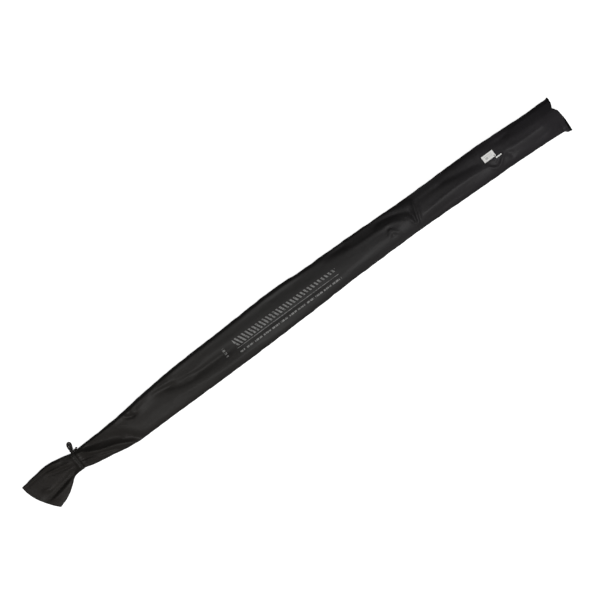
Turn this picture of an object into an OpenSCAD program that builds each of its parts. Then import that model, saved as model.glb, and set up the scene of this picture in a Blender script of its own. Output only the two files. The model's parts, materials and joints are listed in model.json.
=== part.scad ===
// Two-section trolling rod packed in its tied cloth sleeve.
// Lengths in millimetres. X runs along the sleeve from the tied mouth to the closed end,
// Z points up and the sleeve rests on Z = 0.

/* [Rod sections] */
// Length of one packed rod section
section_length = 1058; // [1020:1:1090]
// Blank diameter at the butt end
blank_butt_d = 13; // [12:0.1:14]
// Blank diameter at the end that takes the other section
blank_joint_d = 8.6; // [8:0.1:9.2]
// Outer diameter of the socket on the tip section
socket_d = 10.8; // [10.6:0.1:11.4]
// Blank diameter under the tip ring
blank_tip_d = 2.2; // [2:0.1:2.8]
// Wall of the butt blank
blank_wall = 1.3; // [1:0.1:1.6]
// Depth of the socket
socket_depth = 70; // [60:1:85]
// Length of the thread wrap on the socket
socket_wrap_length = 36; // [25:1:50]

/* [Handle] */
// Diameter of the rubber butt cap
cap_d = 32; // [30:0.5:34]
// Length of the butt cap
cap_length = 24; // [20:1:30]
// Rubber between the grip and the end of the cap
cap_floor = 5; // [4:0.5:7]
// Diameter of the rear grip
rear_grip_d = 27; // [24:0.5:28]
// Length of the rear grip
rear_grip_length = 310; // [280:1:330]
// Length of the trim ring between the rear grip and the seat
trim_ring_length = 4; // [3:0.5:6]
// Length of the reel seat
seat_length = 130; // [125:1:140]
// Diameter of the seat's threaded barrel
barrel_d = 18; // [17:0.5:19]
// How far the trigger reaches from the axis
trigger_reach = 20; // [18:0.5:21]
// Length of the sliding hood
hood_length = 18; // [16:1:20]
// Length of the lock nut
nut_length = 15; // [12:1:17]
// Diameter of the lock nut
nut_d = 25; // [24:0.5:26]
// Largest diameter of the fore grip
fore_grip_d = 24; // [22:0.5:26]
// Smallest diameter of the fore grip
fore_grip_end_d = 18; // [17:0.5:20]
// Length of the fore grip
fore_grip_length = 90; // [70:1:100]
// Length of the winding check
check_length = 7; // [5:0.5:9]

/* [Guides] */
// Ring size of the guide nearest the reel
first_ring = 12; // [11:0.5:12.5]
// Ring size of the second guide
second_ring = 10; // [9:0.5:10.5]
// Ring size of the thick half of the tip section
middle_ring = 8; // [7.5:0.5:8.5]
// Ring size of the thin half of the tip section and of the tip ring
running_ring = 6; // [5.5:0.5:6.5]
// Length of a guide foot
foot_length = 11; // [9:0.5:13]
// Thickness of the thread wraps over a blank
wrap_thickness = 1.3; // [1.2:0.05:1.6]

/* [Sleeve] */
// Thickness of the sewn cloth
cloth = 0.8; // [0.7:0.05:1]
// Free length between the butt cap and the end seam
end_slack = 44; // [42:1:60]
// Free length between the packed rod and the tie
neck_slack = 152; // [140:1:170]
// Length of the mouth beyond the tie
mouth_length = 110; // [90:1:130]
// Height of the gathered neck
neck_height = 14; // [13:0.5:16]
// Height of the lying mouth
mouth_height = 5; // [4.6:0.1:5.3]
// How far the slanted mouth leans either way
mouth_lean = 21; // [10:1:30]
// How far the rim bows out between its two corners
rim_bow = 9; // [4:1:14]
// Height of the fold in the mouth
mouth_fold = 9; // [4:0.5:12]

/* [Tie and tag] */
// Diameter of the tie cord
cord_d = 4; // [3.6:0.1:4.2]
// Width of the cord where it is drawn tight round the neck
tie_width = 4.2; // [3.6:0.1:4.6]
// Thickness of the cord where it is drawn tight round the neck
tie_thick = 1.6; // [1.2:0.1:1.7]
// Radius of the knot
knot_r = 4.4; // [4.2:0.1:4.8]
// Length of the swing tag
tag_length = 28.6; // [26:0.2:32]
// Width of the swing tag
tag_width = 15; // [13:0.2:17]
// Thickness of the swing tag
tag_card = 0.5; // [0.4:0.05:0.8]
// Length of the fastener's paddle
paddle_length = 14; // [12:0.5:16]

/* [Hidden] */
$fn = 48;

// Clearances
glue_gap = 0.03;
slide_gap = 0.1;
lay_gap = 0.3;
cover_gap = 0.6;

// Where the two sections lie in the sleeve
cap_r = cap_d / 2;
lay = cloth + lay_gap;
butt_x = section_length / 2 + 119;
butt_y = -6;
butt_end_y = -14;
butt_roll = 90;
tip_x = butt_x - 3;
tip_y = 20;
tip_end_y = 13;
tip_roll = 4;
socket_wrap_r = socket_d / 2 + wrap_thickness / 2;
// The fore grip carries the thin end of the butt section off the cloth
thin_end_lift = 4;
// The tip section lies on the wraps of its first guide
tip_lay_r = socket_d / 2 + wrap_thickness;
butt_start = [butt_x, butt_y, lay + cap_r];
butt_end = [butt_x - section_length, butt_end_y, lay + blank_joint_d / 2 + thin_end_lift];
tip_start = [tip_x, tip_y, lay + tip_lay_r];
tip_end = [tip_x - section_length, tip_end_y, lay + tip_lay_r];

// Radii along the two blanks, measured from the thick end
function mix(a, b, t) = a + (b - a) * t;
function butt_r(l) = mix(blank_butt_d, blank_joint_d, l / section_length) / 2;
function tip_r(l) = mix(socket_d, blank_tip_d, l / section_length) / 2;

// Places along the handle, measured from the butt end
grip_from = cap_floor;
grip_to = grip_from + rear_grip_length;
seat_from = grip_to + trim_ring_length;
seat_to = seat_from + seat_length;
check_from = seat_to + fore_grip_length;
keeper_at = check_from + check_length + 22;

// Reel seat
barrel_r = barrel_d / 2;
seat_bore_r = 7;
fixed_hood_length = 30;
fixed_hood_r = 12.5;
foot_space = 3.2;
foot_width = 17;
hood_roof = 2.6;
flat_from = 8;
trigger_from = 36;
trigger_length = 24;
trigger_thick = 6;
key_width = 3;
key_depth = 1.2;
nut_from = seat_from + seat_length - nut_length - 4;
hood_from = nut_from - hood_length - slide_gap;
hood_r = barrel_r + 2.6;

// Guide tables: section, distance from the thick end and ring size
BUTT = 0;
TIP = 1;
guides = [
    [BUTT, 690, first_ring],
    [BUTT, 920, second_ring],
    [TIP, 100, middle_ring],
    [TIP, 260, middle_ring],
    [TIP, 430, middle_ring],
    [TIP, 600, running_ring],
    [TIP, 760, running_ring],
    [TIP, 900, running_ring]];
ring_wall = 1.2;
holder_wall = 0.8;
holder_depth = 1.6;
strut_r = 0.65;
foot_thick = 0.8;
foot_breadth = 2.6;
function guide_blank_r(g) = g[0] == BUTT ? butt_r(g[1]) : tip_r(g[1]);
function leg(size) = size * 0.75 + 1;
function foot_start(size) = size * 0.8 + 2;
function guide_reach(g) = guide_blank_r(g) + leg(g[2]) + g[2] / 2 + holder_wall;

// Tip ring
tip_tube_length = 12;
tip_tube_wall = 0.5;
tip_ring_rise = running_ring / 2 + 2.6;

// Heights of the sleeve over what it holds
handle_height = butt_start[2] + cap_r + cover_gap + cloth;
fore_height = mix(butt_start[2], butt_end[2], 0.45) + fore_grip_d / 2 + 4;
front_height = tip_start[2] + guide_reach(guides[5]) + 4;
seam_height = 5;
neck_floor = lay_gap + tie_thick + 0.2;
neck_slit = 1.2;
edge_rise = 2.5;
dome = 2.2;

// Sleeve stations along X
end_x = butt_x + end_slack;
tie_x = butt_x - section_length - neck_slack;
body_length = end_x - tie_x;
// Slack cloth beyond the trigger on one side and beyond the tip section on the other
trigger_slack = 10.5;
tip_slack = 18;
low_line = butt_y - trigger_reach - trigger_slack;
high_line = tip_y + tip_slack;
neck_wall = (neck_height - neck_floor - neck_slit) / 2;
neck_low = low_line + 15.5;
neck_high = high_line - 17;
// Half length of the straight part of the neck under the tie
neck_flat = 4.5;

// The sleeve bears on a flat spot under its middle and on two spots under the handle's end, and the rest
// of its underside lies this little off the floor
rest_lift = 0.3;
rest_half = 20;
rest_station = 0.966;
rest_x = tie_x + body_length * rest_station;
// Share of the half width inside which a point of the underside belongs to the middle
rest_share = 0.3;

// One station: [x, low, high, floor, top, ridge, lean, fold, wall]
function mouth_row(share, low, high, top, lean, fold, wall) =
    [tie_x - mouth_length * share, low, high, 0, top, 1, lean, fold, wall];
function body_row(share, low, high, top, ridge) =
    [tie_x + body_length * share, low_line + low, high_line + high, 0, top, ridge, 0, 0, cloth];
function neck_row(x) =
    [x, neck_low, neck_high, neck_floor, neck_height, 1, 0, 0, neck_wall];

rows = [
    mouth_row(1, -57.5, 24, mouth_height, -mouth_lean, mouth_fold, cloth),
    mouth_row(0.72, -50, 30, mouth_height + 0.5, -15, mouth_fold, cloth),
    mouth_row(0.45, -35.5, 32, mouth_height + 2, -8, mouth_fold * 0.7, 1.6),
    mouth_row(0.24, -24, 27, neck_height - 3, -2, mouth_fold * 0.2, 3.4),
    neck_row(tie_x - neck_flat),
    neck_row(tie_x + neck_flat),
    [tie_x + body_length * 0.018, neck_low - 6, neck_high + 1, 0.6, neck_height + 2, 1, 0, 0, 3],
    body_row(0.042, 3.5, -15, front_height - 4, 0),
    body_row(0.0965, -6.5, -12, front_height - 1, 0),
    body_row(0.15, -7, -4.5, front_height, 0),
    body_row(0.22, -7, 2, front_height, 0),
    body_row(0.33, -7, 6, front_height, 0),
    body_row(0.435, -5, 10, front_height + 1, -1),
    body_row(0.49, -3.5, 6, mix(front_height, fore_height, 0.6), -3),
    body_row(0.543, -1, 5, fore_height, -5),
    body_row(0.6, -0.5, 3.6, handle_height, -7),
    body_row(0.68, 0, 0, handle_height, butt_y),
    body_row(0.735, -1.5, -1, handle_height, butt_y),
    body_row(0.84, -5.5, -1, handle_height, butt_y),
    body_row(0.895, -7, -4, handle_height, butt_y),
    body_row(0.945, -10, -7.5, handle_height, butt_y),
    body_row(rest_station, -11.5, -8, handle_height, butt_y),
    body_row(0.984, -13, -8, handle_height * 0.58, butt_y),
    body_row(1, -19.5, -8, seam_height, butt_y)];
steps = 3;
top_points = 14;
floor_points = 8;
floor_flat = 0.72;

// Smooth curve through the stations
function cubic(a, b, c, d, t) =
    b + 0.5 * t * ((c - a) + t * ((2 * a - 5 * b + 4 * c - d) + t * (3 * (b - c) + d - a)));
function row_at(i) = rows[min(max(i, 0), len(rows) - 1)];
function row_between(i, t) = cubic(row_at(i - 1), row_at(i), row_at(i + 1), row_at(i + 2), t);
// The curve never dips below the surface that the sleeve lies on
function grounded(r) = [for (i = [0:len(r) - 1]) i == 3 ? max(0, r[i]) : r[i]];
fine_rows = [
    for (i = [0:len(rows) - 2], k = [0:steps - 1])
        grounded(i == 4 ? mix(rows[4], rows[5], k / steps) : row_between(i, k / steps)),
    rows[len(rows) - 1]];

// The same station drawn in by the cloth's thickness
function inner(r, t) =
    [r[0], r[1] + t, r[2] - t, r[3] + t, r[4] - t, r[5], r[6], r[7], r[8]];
function edge_z(r) = min(r[3] + edge_rise, (r[3] + r[4]) / 2);
function power(v) = sign(v) * pow(abs(v), 2 / dome);
function fold_z(r, y) =
    let (v = (y - mix(r[1], r[2], 0.27)) / (r[2] - r[1]) * 4)
    abs(v) < 1 ? r[7] * pow(1 - v * v, 2) : 0;
function lean_x(r, y) =
    let (v = 2 * (y - r[1]) / (r[2] - r[1]) - 1)
    r[6] * (v + rim_bow / mouth_lean * (1 - v * v));
function at(r, y, z) = [r[0] + lean_x(r, y), y, z + fold_z(r, y)];
function top_at(r, a) =
    let (c = power(cos(a)), y = r[5] + c * (c > 0 ? r[2] - r[5] : r[5] - r[1]))
    at(r, y, edge_z(r) + (r[4] - edge_z(r)) * power(sin(a)));
// Whether the underside meets the floor here, v being the share of the half width
function bears(r, v) =
    abs(v) < rest_share ? abs(r[0]) < rest_half : abs(v) < floor_flat && abs(r[0] - rest_x) < 1;
function floor_at(r, a, lift) =
    let (v = -cos(a), y = mix(r[1], r[2], (v + 1) / 2), w = max(0, abs(v) - floor_flat),
         z = r[3] + (edge_z(r) - r[3]) * pow(w / (1 - floor_flat), 2))
    at(r, y, bears(r, v) ? z : max(z, lift));
function ring(r, lift = 0) = [
    for (k = [0:top_points]) top_at(r, 180 * k / (top_points + 1)),
    at(r, r[1], edge_z(r)),
    for (k = [1:floor_points]) floor_at(r, 180 * k / (floor_points + 1), lift)];
ring_count = top_points + floor_points + 2;

// Height and slope of the sleeve's top under the tag
tag_share = 0.8585;
tag_y = 3;
tag_x = tie_x + body_length * tag_share;
tag_top = handle_height;
tag_high = high_line - 1;
tag_v = (tag_y - butt_y) / (tag_high - butt_y);
tag_rise = pow(1 - pow(tag_v, dome), 1 / dome);
tag_z = edge_rise + (tag_top - edge_rise) * tag_rise;
tag_slope = (tag_top - edge_rise) / (tag_high - butt_y) * pow(tag_v / tag_rise, dome - 1);
tag_tilt = atan(tag_slope);
tag_hole_r = 1.3;
tag_hole = [tag_length / 2 - 3, -tag_width / 2 + 2.6];
filament_r = 0.55;
bead_r = 0.75;
paddle_width = 2.8;
paddle_thick = 0.9;
paddle_at = [tag_length / 2 - 3 + paddle_length / 2, -tag_width / 2 - 4];

// Puts a section's own frame (Z along the section, X towards the guides) into the sleeve
module lay_section(from, to, roll) {
    d = to - from;
    translate(from)
        rotate([0, acos(d[2] / norm(d)), atan2(d[1], d[0])])
            rotate([0, 0, 180 + roll])
                children();
}

module on_butt() {
    lay_section(butt_start, butt_end, butt_roll) children();
}

module on_tip() {
    lay_section(tip_start, tip_end, tip_roll) children();
}

// The inside of a piece that is glued on the butt blank
module butt_core(from, to, gap) {
    translate([0, 0, from - 1])
        cylinder(h = to - from + 2, r1 = butt_r(from - 1) + gap, r2 = butt_r(to + 1) + gap);
}

module tip_core(from, to, gap) {
    translate([0, 0, from - 1])
        cylinder(h = to - from + 2, r1 = tip_r(from - 1) + gap, r2 = tip_r(to + 1) + gap);
}

// A round bar between two points
module bar(from, to, r) {
    d = to - from;
    translate(from)
        rotate([0, acos(d[2] / norm(d)), atan2(d[1], d[0])])
            cylinder(h = norm(d), r = r, $fn = 24);
}

module bag_cloth() {
    n = ring_count;
    m = len(fine_rows);
    // The inside stops short of the end seam
    last = m - 3;
    outer_rings = [for (r = fine_rows) ring(r, rest_lift)];
    inner_rings = [for (i = [0:last]) ring(inner(fine_rows[i], fine_rows[i][8]))];
    points = [for (r = concat(outer_rings, inner_rings)) each r];
    // Quads between two rings, then the rim and the two end caps
    function quad(a, b, k) =
        let (j = (k + 1) % n)
        [[a + k, b + j, b + k], [a + k, a + j, b + j]];
    outer_faces = [for (i = [0:m - 2], k = [0:n - 1]) each quad(n * (i + 1), n * i, k)];
    inner_faces = [for (i = [0:last - 1], k = [0:n - 1]) each quad(n * (m + i), n * (m + i + 1), k)];
    rim = [for (k = [0:n - 1]) each quad(0, n * m, k)];
    outer_cap = [for (k = [1:n - 2]) [n * (m - 1), n * (m - 1) + k + 1, n * (m - 1) + k]];
    inner_cap = [for (k = [1:n - 2]) [n * (m + last), n * (m + last) + k, n * (m + last) + k + 1]];
    color([0.05, 0.05, 0.055])
        polyhedron(points, concat(outer_faces, inner_faces, rim, outer_cap, inner_cap));
}

// Outline of the neck, grown by a gap
module neck_outline(grow) {
    r = inner(neck_row(tie_x), -grow);
    polygon([for (p = ring(r)) [p[1], p[2]]]);
}

knot_y = neck_high + lay_gap;
knot_z = cord_d / 2 + 0.2 + knot_r;
knot_length = 8;

// The turn is open where the knot holds its two ends
module tie_wrap() {
    color([0.07, 0.07, 0.075])
        difference() {
            translate([tie_x - tie_width / 2, 0, 0])
                rotate([90, 0, 90])
                    linear_extrude(tie_width)
                        difference() {
                            neck_outline(lay_gap + tie_thick);
                            neck_outline(lay_gap);
                        }
            translate([tie_x, knot_y - 4, knot_z])
                rotate([-90, 0, 0])
                    cylinder(h = 4 + knot_length, r = knot_r + 0.1);
        }
}

module tie_knot() {
    color([0.07, 0.07, 0.075])
        translate([tie_x, knot_y, knot_z])
            rotate([-90, 0, 0])
                rotate_extrude()
                    polygon([
                        [0, 0], [knot_r - 0.8, 0], [knot_r, 0.8], [knot_r, 2.4], [knot_r - 0.9, 3.4],
                        [knot_r - 0.9, 4.2], [knot_r - 0.1, 5.2], [knot_r - 0.1, knot_length - 1.6],
                        [knot_r - 1.4, knot_length], [0, knot_length]]);
}

// Middle of the bow loop: sideways from the knot, out from its face, height above the floor
loop_route = [
    [-1, -3, 6.4], [-1.6, 0, 6], [-2, 3, 4.9], [-2, 6, 3.5], [-1.6, 8.6, 2.5], [-0.7, 11, 2.2],
    [0.9, 12.9, 2.1], [3.1, 13.7, 2.1], [5.4, 12.9, 2.1], [6.8, 10.9, 2.2], [7, 8.4, 2.5],
    [6.5, 6, 3.5], [5.6, 3, 4.9], [4.5, 0, 6], [3.5, -3, 6.4]];
loop_y = knot_y + knot_length;

module tie_loop() {
    n = 8;
    m = len(loop_route);
    route = [for (p = loop_route) [tie_x + p[0], loop_y + p[1], p[2]]];
    function along(i) =
        let (d = route[min(i + 1, m - 1)] - route[max(i - 1, 0)])
        d / norm(d);
    function side(i) =
        let (c = cross(along(i), [0, 0, 1]))
        c / norm(c);
    function up(i) = cross(side(i), along(i));
    points = [
        for (i = [0:m - 1], k = [0:n - 1])
            let (a = 360 * k / n)
            route[i] + (side(i) * cos(a) + up(i) * sin(a)) * cord_d / 2];
    sides = [
        for (i = [0:m - 2], k = [0:n - 1])
            let (j = (k + 1) % n)
            each [[n * i + k, n * i + j, n * (i + 1) + j], [n * i + k, n * (i + 1) + j, n * (i + 1) + k]]];
    caps = concat(
        [for (k = [1:n - 2]) [0, k + 1, k]],
        [for (k = [1:n - 2]) [n * (m - 1), n * (m - 1) + k, n * (m - 1) + k + 1]]);
    color([0.07, 0.07, 0.075]) polyhedron(points, concat(sides, caps));
}

module tie_ends() {
    low = cord_d / 2 + 0.1;
    color([0.07, 0.07, 0.075])
        translate([tie_x, knot_y, 0]) {
            bar([0.8, 4, knot_z - 1.4], [2.9, 17.5, low], cord_d / 2);
            bar([1.5, 2.7, knot_z - 1.4], [13.4, 3.6, low], cord_d / 2);
        }
}

// The tag's own frame: flat on the sleeve's top
module on_tag() {
    translate([tag_x, tag_y, tag_z])
        rotate([-tag_tilt, 0, 0])
            translate([0, 0, lay_gap + 0.2])
                children();
}

module swing_tag() {
    color([0.93, 0.93, 0.92])
        on_tag()
            linear_extrude(tag_card)
                difference() {
                    square([tag_length, tag_width], center = true);
                    translate(tag_hole) circle(tag_hole_r, $fn = 32);
                }
}

module tag_fastener() {
    head_z = tag_card + 0.25;
    bend_z = head_z + filament_r;
    paddle_z = 0.2;
    inside_z = -cloth - lay_gap - 1.6;
    heel = [paddle_at[0] - paddle_length / 2 + 1, paddle_at[1], paddle_z + paddle_thick / 2];
    color([0.9, 0.9, 0.9])
        on_tag() {
            translate([tag_hole[0], tag_hole[1], inside_z])
                cylinder(h = bend_z - inside_z, r = filament_r, $fn = 24);
            translate([tag_hole[0], tag_hole[1], bend_z]) sphere(bead_r);
            bar([tag_hole[0], tag_hole[1], bend_z], [heel[0], heel[1], bend_z], filament_r);
            translate([heel[0], heel[1], paddle_z + paddle_thick / 2])
                cylinder(h = bend_z + bead_r - paddle_z - paddle_thick / 2, r = bead_r);
            translate([paddle_at[0], paddle_at[1], paddle_z + paddle_thick / 2])
                cube([paddle_length, paddle_width, paddle_thick], center = true);
            translate([tag_hole[0] - 4, tag_hole[1], inside_z])
                rotate([0, 90, 0])
                    cylinder(h = 8, r = bead_r);
        }
}

module butt_blank() {
    color([0.1, 0.1, 0.11])
        on_butt()
            difference() {
                translate([0, 0, grip_from])
                    cylinder(
                        h = section_length - grip_from, r1 = butt_r(grip_from), r2 = butt_r(section_length));
                translate([0, 0, grip_from - 1])
                    cylinder(
                        h = section_length - grip_from + 2,
                        r1 = butt_r(grip_from - 1) - blank_wall,
                        r2 = butt_r(section_length + 1) - blank_wall);
            }
}

module butt_cap() {
    cup_r = rear_grip_d / 2 + glue_gap;
    color([0.06, 0.06, 0.06])
        on_butt()
            rotate_extrude()
                polygon([
                    [0, 0], [cap_r - 4, 0], [cap_r - 1.2, 1.4], [cap_r, 4.5], [cap_r, cap_length - 1.5],
                    [cap_r - 1, cap_length], [cup_r, cap_length], [cup_r, cap_floor - glue_gap],
                    [0, cap_floor - glue_gap]]);
}

module rear_grip() {
    r = rear_grip_d / 2;
    front_r = fixed_hood_r + 0.5;
    color([0.16, 0.16, 0.16])
        on_butt()
            difference() {
                translate([0, 0, grip_from])
                    rotate_extrude()
                        polygon([
                            [0, 0], [r, 0], [r, rear_grip_length * 0.55], [r - 0.6, rear_grip_length * 0.72],
                            [front_r, rear_grip_length - 3], [front_r - 1, rear_grip_length],
                            [0, rear_grip_length]]);
                butt_core(grip_from, grip_to, glue_gap);
            }
}

module trim_ring() {
    r = fixed_hood_r + 0.3;
    color([0.75, 0.75, 0.77])
        on_butt()
            difference() {
                translate([0, 0, grip_to + glue_gap])
                    rotate_extrude()
                        polygon([
                            [0, 0], [r - 0.6, 0], [r, 0.6], [r, trim_ring_length - 0.6],
                            [r - 0.6, trim_ring_length - 2 * glue_gap],
                            [0, trim_ring_length - 2 * glue_gap]]);
                butt_core(grip_to, seat_from, glue_gap);
            }
}

// Outline of the trigger, seen from the side: out from the axis and along the seat
module trigger_outline() {
    out = trigger_reach;
    base = barrel_r - 1;
    end = trigger_length;
    difference() {
        polygon([
            [-base, 0], [-base - 4, 0.5], [-out + 2, end * 0.55], [-out, end * 0.8],
            [-out + 0.5, end - 1], [-out + 2, end], [-out + 4, end - 2], [-base - 3, end - 5],
            [-base, end]]);
        translate([-base - 6.5, end + 1]) circle(5.2);
    }
}

module reel_seat() {
    color([0.12, 0.12, 0.125])
        on_butt()
            translate([0, 0, seat_from])
                difference() {
                    union() {
                        cylinder(h = seat_length, r = barrel_r);
                        cylinder(h = fixed_hood_length - 6, r = fixed_hood_r);
                        translate([0, 0, fixed_hood_length - 6])
                            cylinder(h = 6, r1 = fixed_hood_r, r2 = barrel_r);
                        // The roof over the reel's foot
                        intersection() {
                            cylinder(h = fixed_hood_length, r = barrel_r + foot_space + hood_roof);
                            translate([0, -foot_width / 2 - 2, 0])
                                cube([barrel_r + foot_space + hood_roof, foot_width + 4, fixed_hood_length]);
                        }
                        translate([0, trigger_thick / 2, trigger_from])
                            rotate([90, 0, 0])
                                linear_extrude(trigger_thick)
                                    trigger_outline();
                    }
                    translate([0, 0, -1]) cylinder(h = seat_length + 2, r = seat_bore_r);
                    // Pocket for the foot of the reel, and the flat that it lies on
                    translate([flat_from, -foot_width / 2, 6])
                        cube([barrel_r + foot_space - flat_from, foot_width, fixed_hood_length]);
                    translate([flat_from, -foot_width, fixed_hood_length])
                        cube([barrel_r, 2 * foot_width, trigger_from + 10]);
                    // Groove that keeps the hood from turning
                    translate([-barrel_r - 1, -key_width / 2, trigger_from + trigger_length + 2])
                        cube([1 + key_depth, key_width, seat_length]);
                }
}

module seat_arbors() {
    arbor_length = 16;
    color([0.35, 0.34, 0.32])
        on_butt()
            for (from = [seat_from + 4, seat_from + 57, seat_to - 20])
                difference() {
                    translate([0, 0, from])
                        cylinder(h = arbor_length, r = seat_bore_r - glue_gap);
                    butt_core(from, from + arbor_length, glue_gap);
                }
}

module sliding_hood() {
    roof_r = barrel_r + foot_space + hood_roof;
    color([0.72, 0.72, 0.74])
        on_butt()
            translate([0, 0, hood_from]) {
                difference() {
                    union() {
                        cylinder(h = hood_length, r = hood_r);
                        intersection() {
                            cylinder(h = hood_length, r = roof_r);
                            translate([0, -foot_width / 2 - 2, 0])
                                cube([roof_r, foot_width + 4, hood_length]);
                        }
                    }
                    translate([0, 0, -1]) cylinder(h = hood_length + 2, r = barrel_r + slide_gap);
                    translate([flat_from, -foot_width / 2, -1])
                        cube([barrel_r + foot_space - flat_from, foot_width, hood_length - 3]);
                }
                // Key that rides in the groove
                difference() {
                    translate([-barrel_r - 0.6, -key_width / 2 + slide_gap, 0])
                        cube([key_depth + 0.4, key_width - 2 * slide_gap, hood_length]);
                    translate([-barrel_r + key_depth - slide_gap, -key_width, -1])
                        cube([key_depth, 2 * key_width, hood_length + 2]);
                }
            }
}

module lock_nut() {
    grooves = 24;
    r = nut_d / 2;
    color([0.1, 0.1, 0.1])
        on_butt()
            translate([0, 0, nut_from])
                difference() {
                    rotate_extrude()
                        polygon([
                            [barrel_r + slide_gap, 0], [r - 1, 0], [r, 1], [r, nut_length - 3],
                            [barrel_r + 2, nut_length], [barrel_r + slide_gap, nut_length]]);
                    for (k = [0:grooves - 1])
                        rotate([0, 0, 360 * k / grooves])
                            translate([r + 0.35, 0, 2])
                                cylinder(h = nut_length - 6, r = 0.9, $fn = 20);
                }
}

module fore_grip() {
    color([0.16, 0.16, 0.16])
        on_butt()
            difference() {
                translate([0, 0, seat_to + glue_gap])
                    rotate_extrude()
                        polygon([
                            [0, 0], [fore_grip_d / 2 - 1.5, 0], [fore_grip_d / 2, 3],
                            [fore_grip_d / 2, fore_grip_length * 0.35],
                            [fore_grip_end_d / 2 + 0.8, fore_grip_length * 0.85],
                            [fore_grip_end_d / 2, fore_grip_length - glue_gap * 2],
                            [0, fore_grip_length - glue_gap * 2]]);
                butt_core(seat_to, check_from, glue_gap);
            }
}

module winding_check() {
    color([0.75, 0.75, 0.77])
        on_butt()
            difference() {
                translate([0, 0, check_from])
                    rotate_extrude()
                        polygon([
                            [0, 0], [fore_grip_end_d / 2 - 0.6, 0], [fore_grip_end_d / 2, 0.6],
                            [fore_grip_end_d / 2, 2], [butt_r(check_from) + 1, check_length],
                            [0, check_length]]);
                butt_core(check_from, check_from + check_length, glue_gap);
            }
}

keeper_r = 4;
keeper_wire = 0.6;
keeper_foot = 9;

// The keeper's two feet lie along the blank, with the loop standing between them
module keeper_foot_shape(gap) {
    rise = butt_r(keeper_at) + keeper_wire + 0.15;
    for (side = [-1, 1])
        translate([rise, 0, keeper_at + side * keeper_r])
            rotate([side < 0 ? 180 : 0, 0, 0])
                cylinder(h = keeper_foot + gap, r = keeper_wire + gap, $fn = 24);
}

module hook_keeper() {
    rise = butt_r(keeper_at) + keeper_wire + 0.15;
    color([0.75, 0.75, 0.77])
        on_butt() {
            keeper_foot_shape(0);
            translate([rise, 0, keeper_at])
                rotate([90, 0, 0])
                    rotate([0, 0, -90])
                        rotate_extrude(angle = 180)
                            translate([keeper_r, 0]) circle(keeper_wire, $fn = 24);
        }
}

module keeper_wraps() {
    color([0.3, 0.04, 0.05])
        on_butt()
            for (from = [keeper_at - keeper_r - keeper_foot - 2, keeper_at + keeper_r + 2.5])
                difference() {
                    translate([0, 0, from])
                        cylinder(
                            h = keeper_foot - 0.5,
                            r1 = butt_r(from) + 2 * keeper_wire + 0.5,
                            r2 = butt_r(from + keeper_foot) + 2 * keeper_wire + 0.5);
                    butt_core(from, from + keeper_foot, glue_gap);
                    keeper_foot_shape(glue_gap);
                }
}

// One guide in its section's frame, with the ring's plane at Z = 0
module guide_feet(blank_r, size, gap) {
    for (side = [-1, 1])
        translate([blank_r - 0.6, -foot_breadth / 2 - gap, side > 0 ? foot_start(size) : -foot_start(size)])
            mirror([0, 0, side > 0 ? 0 : 1])
                translate([0, 0, -gap])
                    cube([foot_thick + 0.6 + gap, foot_breadth + 2 * gap, foot_length + 2 * gap]);
}

module guide_frame(g) {
    size = g[2];
    blank_r = guide_blank_r(g);
    mid = blank_r + leg(size);
    holder_r = size / 2 + holder_wall;
    neck_r = size / 2 + holder_wall * 0.55;
    ankle = blank_r + foot_thick - strut_r * 0.6;
    reach_z = foot_start(size) + 1.2;
    difference() {
        union() {
            guide_feet(blank_r, size, 0);
            translate([mid, 0, -holder_depth / 2]) cylinder(h = holder_depth, r = holder_r);
            // Two legs towards the butt, one towards the tip
            for (side = [-1, 1])
                bar([ankle, side * 0.6, -reach_z],
                    [mid - neck_r * cos(58), side * neck_r * sin(58), 0.1], strut_r);
            bar([ankle, 0, reach_z], [mid - neck_r, 0, -0.1], strut_r);
        }
        // The feet are ground to sit on the blank
        translate([0, 0, -g[1]])
            if (g[0] == BUTT)
                butt_core(g[1] - 40, g[1] + 40, glue_gap);
            else
                tip_core(g[1] - 40, g[1] + 40, glue_gap);
        // The seat of the ring
        translate([mid, 0, -holder_depth]) cylinder(h = 2 * holder_depth, r = size / 2);
    }
}

module guide_ring(g) {
    size = g[2];
    translate([guide_blank_r(g) + leg(size), 0, 0])
        rotate_extrude()
            translate([size / 2 - ring_wall / 2 - glue_gap, 0])
                intersection() {
                    circle(ring_wall * 0.75, $fn = 32);
                    square([ring_wall, ring_wall * 2], center = true);
                }
}

module guide_wraps(g) {
    size = g[2];
    blank_r = guide_blank_r(g);
    length = foot_length + 1;
    for (side = [-1, 1]) {
        from = side > 0 ? foot_start(size) + 2.6 : -foot_start(size) - 2.6 - length;
        difference() {
            translate([0, 0, from])
                cylinder(h = length, r = blank_r + wrap_thickness + 0.15);
            translate([0, 0, -g[1]])
                if (g[0] == BUTT)
                    butt_core(g[1] + from, g[1] + from + length, glue_gap);
                else
                    tip_core(g[1] + from, g[1] + from + length, glue_gap);
            guide_feet(blank_r, size, glue_gap);
        }
    }
}

module on_section(g) {
    if (g[0] == BUTT)
        on_butt() translate([0, 0, g[1]]) children();
    else
        on_tip() translate([0, 0, g[1]]) children();
}

module butt_guide_wraps() {
    color([0.3, 0.04, 0.05])
        for (g = guides)
            if (g[0] == BUTT)
                on_section(g) guide_wraps(g);
}

module tip_guide_wraps() {
    color([0.3, 0.04, 0.05])
        for (g = guides)
            if (g[0] == TIP)
                on_section(g) guide_wraps(g);
}

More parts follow.
